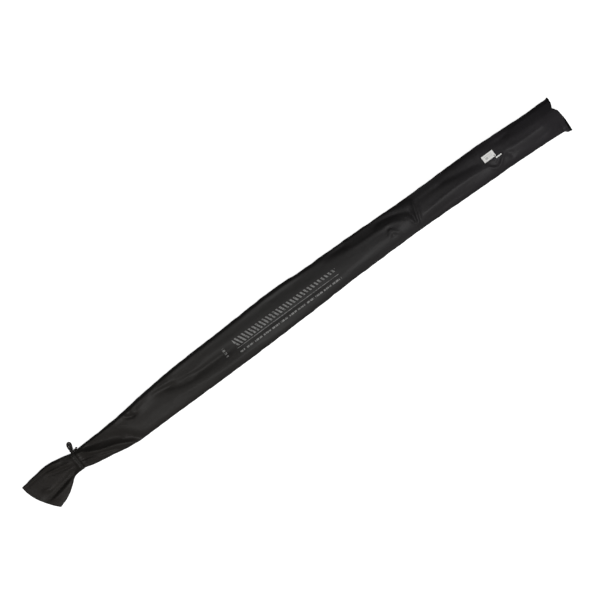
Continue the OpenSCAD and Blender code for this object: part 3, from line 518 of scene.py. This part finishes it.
def swept_cord(name, path, radius, flat=1.0, strands=3, lay=9.0, sides=24, step=0.5, frayed=0.0):
    """A laid cord along a path: strands show as lobes that turn round it, and flat squeezes it down."""
    path = even_steps(curve_through(path, 16), step)
    count = len(path)
    ahead = np.gradient(path, axis=0)
    ahead /= np.linalg.norm(ahead, axis=1, keepdims=True)
    sideways, normal = np.zeros_like(path), np.zeros_like(path)
    last = np.cross(ahead[0], UPWARD if abs(ahead[0] @ UPWARD) < 0.95 else ALONG_ROD)
    for i in range(count):
        last = last - ahead[i] * (last @ ahead[i])
        last = last / np.linalg.norm(last)
        sideways[i], normal[i] = last, np.cross(last, ahead[i])
    angle = np.arange(sides) / sides * 2 * math.pi
    along = np.arange(count) * step
    turn = along[:, None] / lay * 2 * math.pi
    lobe = 1 - GROOVE + GROOVE * np.abs(np.cos((angle[None, :] - turn) * strands / 2))
    ring = radius * lobe * (1 + frayed * ease(along[-1] - FRAY, along[-1], along)[:, None])
    verts = (path[:, None, :] + sideways[:, None, :] * (ring * np.cos(angle))[:, :, None]
             + normal[:, None, :] * (ring * np.sin(angle) * flat)[:, :, None])
    ends = np.vstack([path[0] - ahead[0] * radius * ROUNDED_END, path[-1] + ahead[-1] * radius * ROUNDED_END])
    girth = radius * 2 * math.pi * MM
    faces, uv = [], []
    for face, places in ring_quads(count, sides):
        faces.append(face)
        uv += [(along[row] * MM, place / sides * girth) for row, place in places]
    first, final = count * sides, count * sides + 1
    for k in range(sides):
        n = (k + 1) % sides
        faces += [(first, n, k), (final, (count - 1) * sides + k, (count - 1) * sides + n)]
        uv += [(place, i * END_MAP) for place in (0, along[-1] * MM) for i in range(3)]
    return mesh_piece(name, np.vstack([verts.reshape(-1, 3), ends]), faces, uv), path


# The cord: one flattened turn round the neck, a small knot at the upper side, one loop and two tails.

KNOT = np.array([TIE_X, 21.3, 6.6])
CORD_R = 2.0
LOOP_Y = 29.3
LOOP_ROUTE = np.array([
    (-1, -3, 6.4), (-1.6, 0, 6), (-2, 3, 4.9), (-2, 6, 3.5), (-1.6, 8.6, 2.5), (-0.7, 11, 2.2),
    (0.9, 12.9, 2.1), (3.1, 13.7, 2.1), (5.4, 12.9, 2.1),
    (6.8, 10.9, 2.2), (7, 8.4, 2.5), (6.5, 6, 3.5), (5.6, 3, 4.9), (4.5, 0, 6), (3.5, -3, 6.4),
]) + (TIE_X, LOOP_Y, 0)
# The long tail lies between the loop's two strands, with its own strands spread, and ends on the loop's
# bight. The short tail runs along the cloth.
LONG_TAIL = KNOT + np.array([
    (0.6, 2.5, -1), (1.3, 5, -1.6), (2.0, 9, -2.6), (2.4, 13.5, -3.6), (2.9, 18.9, -2.7)])
SHORT_TAIL = KNOT + np.array([
    (1, 2.5, -1), (2.4, 2.2, -1.7), (6, 1.7, -3), (9.5, 2, -4.1), (12.8, 3.8, -4.5)])
SPREAD, PRESSED, FRAYED = 1.3, 0.7, 0.12

tie_loop, loop_path = swept_cord("tie_cord_loop", LOOP_ROUTE, CORD_R)
tail_a, _ = swept_cord("tie_cord_tail_long", LONG_TAIL, SPREAD * CORD_R, flat=PRESSED, frayed=FRAYED)
tail_b, _ = swept_cord("tie_cord_tail_short", SHORT_TAIL, CORD_R, frayed=FRAYED)

# The turn's cross-section, how far its middle stands off the cloth and the floor, and its strands' lay
TURN_WIDE, TURN_THICK, TURN_GROOVE, TURN_GIRTH = 2.1, 0.85, 0.14, 8.0
TURN_OFF, TURN_LOWEST, TURN_LAY, TURN_SIDES = 0.75, 0.95, 9, 24


def neck_turn():
    """The flattened turn of cord that draws the neck in, closed on itself under the knot."""
    neck = sleeve_face[int(np.argmin(np.abs(sleeve_face[:, 0, 0] - TIE_X)))]
    neck = even_steps(np.vstack([neck, neck[:1]]), 1.0)
    path = neck[:-1]
    for _ in range(10):
        path = evened(path)
    ahead = np.roll(path, -1, axis=0) - np.roll(path, 1, axis=0)
    ahead[:, 0] = 0
    ahead /= np.linalg.norm(ahead, axis=1, keepdims=True)
    away = np.cross(ahead, ALONG_ROD)
    if ((path - neck.mean(axis=0)) * away).sum() < 0:
        away = -away
    path = path + away * TURN_OFF
    path[:, 2] = np.maximum(path[:, 2], TURN_LOWEST)
    count = len(path)
    angle = np.arange(TURN_SIDES) / TURN_SIDES * 2 * math.pi
    turn = np.arange(count)[:, None] / count * round(count / TURN_LAY) * 2 * math.pi
    lobe = 1 - TURN_GROOVE + TURN_GROOVE * np.abs(np.cos((angle[None, :] - turn) * 1.5))
    verts = (path[:, None, :] + away[:, None, :] * (TURN_THICK * lobe * np.sin(angle))[:, :, None]
             + ALONG_ROD * (TURN_WIDE * lobe * np.cos(angle))[:, :, None])
    faces, uv = [], []
    for face, places in ring_quads(count, TURN_SIDES, closed=True, flip=True):
        faces.append(face)
        uv += [(row * MM, place / TURN_SIDES * TURN_GIRTH * MM) for row, place in places]
    return mesh_piece("tie_cord_turn", verts.reshape(-1, 3), faces, uv)


def overhand_knot():
    """The pulled-down knot: a short cord wound nearly twice round the strands that leave it."""
    t = np.linspace(0, 1, 40)
    swing = t * 2 * math.pi * 1.75 - 0.6
    path = KNOT + np.column_stack([2.5 * np.cos(swing), 6.6 * t - 1.8, 2.4 * np.sin(swing)])
    return swept_cord("tie_cord_knot", path, 1.9, lay=8.0, step=0.4)[0]


# The rolled seam's radius, how far it stands past the cloth, and its height with its slight wave
SEAM_R, SEAM_PAST, SEAM_HEIGHT, SEAM_WAVE = 2.6, 1.0, 3.0, 0.25


def rolled_seam():
    """The rolled edge that closes the far end of the sleeve."""
    path = sleeve_face[-1, UPPER_FROM:UPPER_FROM + OVER].copy()
    path[:, 0] += SEAM_PAST
    path[:, 2] = SEAM_HEIGHT + SEAM_WAVE * np.sin(path[:, 1] * 0.5)
    path = even_steps(path, 1.0)
    return swept_cord("sleeve_end_seam", path, SEAM_R, strands=2, lay=13.0, sides=20, step=0.8)[0]


tie_turn, tie_knot, end_seam = neck_turn(), overhand_knot(), rolled_seam()


class Tone:
    """A value in a material: operators add Math nodes, and make() adds any other node."""

    def __init__(self, tree, socket=None):
        self.tree, self.socket = tree, socket

    def make(self, kind, sockets=None, out=0, **settings):
        node = self.tree.nodes.new(kind)
        for name, value in settings.items():
            if name == "stops":
                while len(node.color_ramp.elements) < len(value):
                    node.color_ramp.elements.new(0.5)
                for element, (place, colour) in zip(node.color_ramp.elements, value):
                    element.position, element.color = place, (*colour, 1)
            else:
                setattr(node, name, value)
        for key, value in (sockets or {}).items():
            if isinstance(value, Tone):
                self.tree.links.new(value.socket, node.inputs[key])
            else:
                node.inputs[key].default_value = value
        return Tone(self.tree, node.outputs[out] if len(node.outputs) else None)

    def math(self, operation, other=0.0, clamp=False):
        return self.make("ShaderNodeMath", {0: self, 1: other}, operation=operation, use_clamp=clamp)

    def __add__(self, other):
        return self.math("ADD", other)

    __radd__ = __add__

    def __mul__(self, other):
        return self.math("MULTIPLY", other)

    __rmul__ = __mul__

    def __sub__(self, other):
        return self.math("SUBTRACT", other)

    def __rsub__(self, other):
        return self.make("ShaderNodeMath", {0: other, 1: self}, operation="SUBTRACT")

    def __abs__(self):
        return self.math("ABSOLUTE")

    def clamped(self):
        """This value, kept between 0 and 1."""
        return self.math("ADD", 0.0, clamp=True)

    def toward(self, first, second):
        """The colour that is first where this is 0 and second where it is 1."""
        colours = {6: first, 7: second}
        for key, value in colours.items():
            if not isinstance(value, Tone):
                colours[key] = (*value, 1)
        return self.make("ShaderNodeMix", {0: self, **colours}, out=2, data_type="RGBA")


def start_finish(name, roughness=0.5, **constants):
    """A new material with its main shader, a blank tone, and its Object and UV coordinates.

    The constants go straight onto the shader's sockets.
    """
    material = bpy.data.materials.new(name)
    material.use_nodes = True
    tree = material.node_tree
    shader = tree.nodes["Principled BSDF"]
    shader.inputs["Roughness"].default_value = roughness
    for key, value in constants.items():
        shader.inputs[key.replace("_", " ")].default_value = value
    coords = tree.nodes.new("ShaderNodeTexCoord").outputs
    return material, shader, Tone(tree), Tone(tree, coords["Object"]), Tone(tree, coords["UV"])


def wire(shader, **feeds):
    """Feeds what changes over the surface into the shader's sockets."""
    for key, value in feeds.items():
        value.tree.links.new(value.socket, shader.inputs[key.replace("_", " ")])


def axes(tone, place):
    """The three values of a place."""
    split = tone.make("ShaderNodeSeparateXYZ", {0: place}).socket.node
    return [Tone(tone.tree, socket) for socket in split.outputs]


def noise(tone, place, scale, detail=3.0):
    """Uneven clouds, from about 0 to 1."""
    return tone.make("ShaderNodeTexNoise",
                     {"Vector": place, "Scale": scale, "Detail": detail, "Roughness": 0.55})


def stretched(tone, place, scale, turn=(0, 0, 0), shift=(0, 0, 0)):
    """A place scaled, turned and shifted."""
    return tone.make("ShaderNodeMapping",
                     {"Vector": place, "Scale": scale, "Rotation": turn, "Location": shift})


def bumped(tone, height, strength, distance):
    """A height as a fine relief of the surface."""
    return tone.make("ShaderNodeBump", {"Height": height, "Strength": strength, "Distance": distance})


def woven(u, v, pitch):
    """A plain weave's height from threads that cross at the given pitch, in metres."""
    k = 2 * math.pi / pitch
    warp, weft = (u * k).math("SINE"), (v * k).math("SINE")
    return (warp * weft) * 0.5 + 0.5


def bar(u, v, middle_u, middle_v, half_u, half_v, soft):
    """1 inside a printed bar and 0 outside it, with a soft edge."""
    inside_u = ((half_u - abs(u - middle_u)) * (1 / soft)).clamped()
    return inside_u * ((half_v - abs(v - middle_v)) * (1 / soft)).clamped()


def hatch(place, pitch, share, soft):
    """Even bars along a place value: 1 over the given share of each pitch, with a soft edge."""
    off = abs((place * (1 / pitch)).math("FRACT") - 0.5)
    return ((share / 2 - off) * (pitch / soft)).clamped()


# The cloth's thread pitch and the sleeve's plain pale marks, in metres: the ink's soft edge, the middle and
# half length of the long rows, the tapering band, the places of the rule and the dashes, and the short bars.
THREADS, INK_EDGE = 0.0009, 0.0005
ROWS_X, ROWS_HALF = -0.0175, 0.1325
BAND_Y, BAND_HALF, BAND_TAPER = 0.0032, 0.0092, 0.0058
RULE_Y, DASHES_Y = -0.0088, -0.0188
SHORT_X, SHORT_Y = -0.1765, -0.0011
PALE_INK = (0.42, 0.42, 0.41)


def pale_marks(x, y):
    """Where the ink lies: a tapering band of slanted bars, a rule, a row of dashes and three short bars."""
    share = (x + (ROWS_HALF - ROWS_X)) * (1 / (2 * ROWS_HALF))
    taper = ((BAND_HALF - share * BAND_TAPER - abs(y - BAND_Y)) * (1 / INK_EDGE)).clamped()
    band = (bar(x, y, ROWS_X, BAND_Y, ROWS_HALF, 0.02, INK_EDGE) * taper
            * hatch(x + y * 0.5, 0.0088, 0.55, INK_EDGE))
    rule = bar(x, y, ROWS_X, RULE_Y, ROWS_HALF, 0.0007, 0.0004)
    dashes = (bar(x, y, ROWS_X + 0.001, DASHES_Y, ROWS_HALF + 0.001, 0.0021, INK_EDGE)
              * hatch(x, 0.0225, 0.84, INK_EDGE) * hatch(x, 0.0083, 0.86, INK_EDGE))
    short_bars = bar(x, y, SHORT_X, SHORT_Y, 0.0032, 0.0105, INK_EDGE) * hatch(y, 0.0071, 0.62, INK_EDGE)
    return (band + rule + dashes + short_bars).clamped()


def sleeve_finish():
    """Black satin cloth with a fine weave, uneven streaks, a painted colour cast of the light along the rod
    and worn pale marks on its upper side.
    """
    material, shader, tone, place, uv = start_finish("sleeve cloth", 0.5, Specular_IOR_Level=0.13)
    u, v, _ = axes(tone, uv)
    x, y, z = axes(tone, place)
    soft = noise(tone, place, 14.0, 4.0)
    streak = noise(tone, stretched(tone, uv, (60, 900, 1)), 1.0, 2.0)
    fine = noise(tone, place, 900.0, 2.0)
    grain = noise(tone, place, 190.0, 2.0)
    # painted light: the cloth's tint runs from brownish at the mouth end to purplish at the sewn end, a
    # colour cast of the light painted into the cloth
    along = ((x + 0.65) * 0.74).clamped()
    painted_light_tint = tone.make("ShaderNodeValToRGB", {0: along}, stops=[
        (0.0, (0.0255, 0.0230, 0.0210)), (0.45, (0.0228, 0.0222, 0.0212)), (1.0, (0.0240, 0.0222, 0.0246))])
    weave = woven(u, v, THREADS)
    shade = (soft * 0.6 + grain * 0.4 + streak * 0.3 + fine * 0.25 + weave * 0.12 + 0.17).clamped()
    cloth = shade.toward((0.009, 0.0083, 0.0076), painted_light_tint)
    upper_side = ((z - 0.008) * 400).clamped()
    worn = ((noise(tone, place, 520.0) - 0.36) * 6).clamped() * (weave * 0.35 + 0.65)
    ink = pale_marks(x, y) * worn * upper_side
    colour = (ink * 0.62).toward(cloth, PALE_INK)
    height = weave * 0.7 + fine * 0.35 + streak * 0.2 + ink * 0.25
    wire(shader, Base_Color=colour, Roughness=soft * 0.18 + 0.42 - ink * 0.08,
         Normal=bumped(tone, height, 0.35, 0.00025))
    return material


def cord_finish():
    """Black laid cord: fibres that run with its strands."""
    material, shader, tone, place, uv = start_finish(
        "tie cord", 0.8, Specular_IOR_Level=0.06, Sheen_Weight=0.01, Sheen_Roughness=0.5)
    u, v, _ = axes(tone, uv)
    fibres = noise(tone, stretched(tone, uv, (500, 3500, 1), (0, 0, 0.6)), 1.0)
    blotch = noise(tone, place, 220.0)
    plies = ((u * 2600 + v * 3400).math("SINE")) * 0.5 + 0.5
    shade = (fibres * 0.6 + blotch * 0.3 + plies * 0.1).clamped()
    wire(shader, Base_Color=shade.toward((0.010, 0.0096, 0.0092), (0.044, 0.0420, 0.0390)),
         Roughness=fibres * 0.2 + 0.68, Normal=bumped(tone, fibres * 0.7 + plies * 0.6, 0.6, 0.0002))
    return material


def seam_finish():
    """The sleeve's cloth rolled over, with a row of stitches sunk into it, coloured far darker than the
    sleeve: painted shade of the rolled edge.
    """
    material, shader, tone, place, uv = start_finish(
        "seam cloth with painted shade", 0.7, Specular_IOR_Level=0.08, Sheen_Weight=0.02)
    u, v, _ = axes(tone, uv)
    weave = woven(u, v, THREADS)
    soft = noise(tone, place, 120.0, 4.0)
    stitch_length = 0.0042
    stitches = (((u * (2 * math.pi / stitch_length)).math("SINE") - 0.2) * 4).clamped()
    shade = (soft * 0.7 + weave * 0.2 - stitches * 0.25).clamped()
    # painted shade: the rolled edge is coloured far darker than the sleeve's cloth, standing in for its
    # shadow
    wire(shader, Base_Color=shade.toward((0.0015, 0.0015, 0.0015), (0.006, 0.0057, 0.0057)),
         Roughness=soft * 0.2 + 0.58,
         Normal=bumped(tone, weave * 0.4 + soft * 0.6 - stitches * 0.8, 0.6, 0.0004))
    return material


def card_finish():
    """White card with plain grey bars and one faint row, placed from the card's own middle."""
    material, shader, tone, place, _ = start_finish("tag card", 0.55, Specular_IOR_Level=0.3)
    low, high = [np.array(corner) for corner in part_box("swing_tag")]
    centred = stretched(tone, place, (1, 1, 1), shift=tuple(-float(c) for c in (low + high) / 2))
    x, y, _ = axes(tone, centred)
    fibres = noise(tone, stretched(tone, place, (700, 1600, 700), (0, 0, 0.4)), 1.0, 4.0)
    cloud = noise(tone, place, 90.0)
    bare = (fibres * 0.45 + cloud * 0.55).clamped().toward((0.74, 0.735, 0.71), (0.86, 0.855, 0.84))
    edge, gap_edge = 0.0002, 0.0003
    dark_bars = bar(x, y, -0.0056, -0.0014, 0.0034, 0.0024, edge) * hatch(x, 0.0017, 0.62, gap_edge)
    pale_bars = bar(x, y, 0.0042, -0.0010, 0.0052, 0.0022, edge) * hatch(x, 0.0013, 0.5, gap_edge)
    row = bar(x, y, -0.0002, 0.0034, 0.0104, 0.0008, edge) * hatch(x, 0.0031, 0.7, gap_edge)
    ink = (dark_bars * 0.85 + pale_bars * 0.5 + row * 0.35).clamped()
    wire(shader, Base_Color=ink.toward(bare, (0.07, 0.07, 0.07)), Roughness=cloud * 0.15 + 0.45,
         Normal=bumped(tone, fibres, 0.15, 0.0001))
    return material


def fastener_finish():
    """White paddle on a clear nylon thread: the thread shows the cloth under it."""
    material, shader, tone, place, _ = start_finish("tag fastener", 0.4)
    y = axes(tone, place)[1]
    cloud = noise(tone, place, 120.0, 4.0)
    paddle_width = 0.0034
    thread = ((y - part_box("tag_fastener")[0][1] - paddle_width) * 2500).clamped()
    wire(shader, Base_Color=cloud.toward((0.72, 0.72, 0.70), (0.86, 0.86, 0.84)), Alpha=1 - thread * 0.8,
         Roughness=cloud * 0.2 + 0.3, Normal=bumped(tone, cloud, 0.15, 0.0002))
    return material


def moulded_finish(name, dark, light, scale, roughness):
    """Plastic, rubber, cork or ceramic: clouded colour with a fine grain."""
    material, shader, tone, place, _ = start_finish(name, roughness)
    cloud = noise(tone, place, scale, 4.0)
    grain = noise(tone, place, scale * 14, 2.0)
    wire(shader, Base_Color=(cloud * 0.7 + grain * 0.3).clamped().toward(dark, light),
         Roughness=cloud * 0.2 + (roughness - 0.1), Normal=bumped(tone, grain, 0.25, 0.0002))
    return material


def foam_finish():
    """Dull black foam with small cells."""
    material, shader, tone, place, _ = start_finish("grip foam", 0.85, Specular_IOR_Level=0.25)
    cells = tone.make("ShaderNodeTexVoronoi", {"Vector": place, "Scale": 1300.0}, feature="F1")
    cloud = noise(tone, place, 60.0)
    shade = (cells * 0.6 + cloud * 0.4).clamped()
    wire(shader, Base_Color=shade.toward((0.008, 0.008, 0.008), (0.030, 0.029, 0.028)),
         Roughness=cloud * 0.15 + 0.75, Normal=bumped(tone, cells, 0.5, 0.0004))
    return material


def blank_finish():
    """Lacquered carbon tube: the lines of its wrapping under a clear coat."""
    material, shader, tone, place, _ = start_finish(
        "carbon blank", 0.28, Coat_Weight=0.7, Coat_Roughness=0.08)
    x, y, _ = axes(tone, place)
    wrap_pitch = 0.0032
    wrapped = ((x * (2 * math.pi / wrap_pitch) + y * 900).math("SINE")) * 0.5 + 0.5
    flake = noise(tone, place, 1500.0, 2.0)
    shade = (wrapped * 0.5 + flake * 0.5).clamped()
    wire(shader, Base_Color=shade.toward((0.006, 0.006, 0.007), (0.030, 0.031, 0.036)),
         Roughness=flake * 0.12 + 0.2, Normal=bumped(tone, wrapped, 0.2, 0.0001))
    return material


def metal_finish(name, dark, light, roughness, grain_along):
    """Turned or drawn metal: fine lines along or round the rod."""
    material, shader, tone, place, _ = start_finish(name, roughness, Metallic=1.0)
    lines = noise(tone, stretched(tone, place, (40, 2600, 2600) if grain_along else (4200, 60, 60)), 1.0)
    smear = noise(tone, place, 70.0)
    wire(shader, Base_Color=(lines * 0.6 + smear * 0.4).clamped().toward(dark, light),
         Roughness=smear * 0.18 + (roughness - 0.09), Normal=bumped(tone, lines, 0.2, 0.0001))
    return material


def thread_finish():
    """Lacquered whipping: turns of fine thread laid side by side."""
    material, shader, tone, place, _ = start_finish(
        "whipping thread", 0.35, Coat_Weight=0.8, Coat_Roughness=0.1)
    x = axes(tone, place)[0]
    thread_width = 0.0004
    turns = abs((x * (math.pi / thread_width)).math("SINE"))
    cloud = noise(tone, place, 260.0)
    shade = (turns * 0.6 + cloud * 0.4).clamped()
    wire(shader, Base_Color=shade.toward((0.006, 0.006, 0.007), (0.045, 0.040, 0.040)),
         Roughness=cloud * 0.15 + 0.28, Normal=bumped(tone, turns, 0.5, 0.0002))
    return material


FINISHES = {
    "card": card_finish(),
    "white_plastic": fastener_finish(),
    "blank": blank_finish(),
    "cap_rubber": moulded_finish("cap rubber", (0.006, 0.006, 0.006), (0.022, 0.022, 0.022), 90.0, 0.8),
    "foam": foam_finish(),
    "bright_aluminium": metal_finish("bright aluminium", (0.55, 0.55, 0.56), (0.86, 0.86, 0.87), 0.26, False),
    "seat_plastic": moulded_finish("seat plastic", (0.008, 0.008, 0.009), (0.026, 0.026, 0.028), 70.0, 0.42),
    "arbor": moulded_finish("cork arbor", (0.16, 0.095, 0.05), (0.42, 0.29, 0.17), 160.0, 0.85),
    "steel": metal_finish("guide steel", (0.36, 0.36, 0.37), (0.66, 0.66, 0.67), 0.24, True),
    "thread": thread_finish(),
    "ceramic": moulded_finish("ring ceramic", (0.02, 0.02, 0.022), (0.06, 0.06, 0.064), 200.0, 0.2),
}
for entry in frame["record"]["subparts"]:
    finish = FINISHES.get(entry["material_slot"])
    if finish:
        part = nodes[entry["node"]]
        part.data.materials.clear()
        part.data.materials.append(finish)

cloth_finish, tie_finish, shaded_seam_finish = sleeve_finish(), cord_finish(), seam_finish()
sleeve.data.materials.append(cloth_finish)
end_seam.data.materials.append(shaded_seam_finish)
for piece in (tie_turn, tie_knot, tie_loop, tail_a, tail_b):
    piece.data.materials.append(tie_finish)

for piece, solids, slot in (
        (sleeve, ["bag_cloth"], "cloth"), (end_seam, [], "cloth"), (tie_turn, ["tie_wrap"], "ribbon"),
        (tie_knot, ["tie_knot"], "ribbon"), (tie_loop, ["tie_loop"], "ribbon"),
        (tail_a, ["tie_ends"], "ribbon"), (tail_b, ["tie_ends"], "ribbon")):
    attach(piece, "bag")
    if solids:
        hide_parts(*solids)


# Floor, light and the camera straight overhead, in metres. Each light has a place, a size and a power.

FLOOR_SIZE, FLOOR_DROP, FLOOR_GLOW = 60, 0.0004, 0.92
LIGHTS = {
    "key light": ((0.4, -1.6, 2.4), 0.7, 63),
    "fill light": ((-0.5, 1.5, 2.5), 1.2, 12),
    "top light": ((0, -0.6, 4.6), 3.0, 11),
}
ROOM_GLOW = 0.07
CAMERA_PLACE, CAMERA_TURN = (0.017, -0.0048, 4), -36.38
SENSOR, FOCAL_LENGTH = 36, 113.2


def pale_floor():
    """A near-white floor that glows by itself and throws no light onto the rod."""
    bpy.ops.object.select_all(action="DESELECT")
    bpy.ops.mesh.primitive_plane_add(size=FLOOR_SIZE, location=(0, 0, -FLOOR_DROP))
    floor = bpy.context.object
    floor.name = "floor"
    material, shader, tone, place, _ = start_finish("pale floor", 0.9, Specular_IOR_Level=0.1)
    wire(shader, Base_Color=noise(tone, place, 2.0, 2.0).toward((0.40, 0.40, 0.40), (0.44, 0.44, 0.44)))
    shader.inputs["Emission Color"].default_value = (1, 1, 1, 1)
    shader.inputs["Emission Strength"].default_value = FLOOR_GLOW
    floor.data.materials.append(material)
    floor.visible_diffuse = False
    floor.visible_glossy = False


def soft_light(name, place, size, power):
    """A square lamp that looks at the middle of the rod."""
    lamp = bpy.data.lights.new(name, "AREA")
    lamp.shape, lamp.size, lamp.energy = "SQUARE", size, power
    stand = bpy.data.objects.new(name, lamp)
    stand.location = place
    stand.rotation_euler = (-Vector(place)).to_track_quat("-Z", "Y").to_euler()
    bpy.context.scene.collection.objects.link(stand)


pale_floor()
for name, (place, size, power) in LIGHTS.items():
    soft_light(name, place, size, power)
world = bpy.data.worlds.new("studio")
world.use_nodes = True
background = world.node_tree.nodes["Background"]
background.inputs["Color"].default_value = (1, 1, 1, 1)
background.inputs["Strength"].default_value = ROOM_GLOW
bpy.context.scene.world = world
bpy.context.scene.view_settings.view_transform = "Standard"

lens = bpy.data.cameras.new("overhead camera")
lens.sensor_width, lens.lens = SENSOR, FOCAL_LENGTH
camera = bpy.data.objects.new("overhead camera", lens)
camera.location = CAMERA_PLACE
camera.rotation_euler = (0, 0, math.radians(CAMERA_TURN))
bpy.context.scene.collection.objects.link(camera)
bpy.context.scene.camera = camera
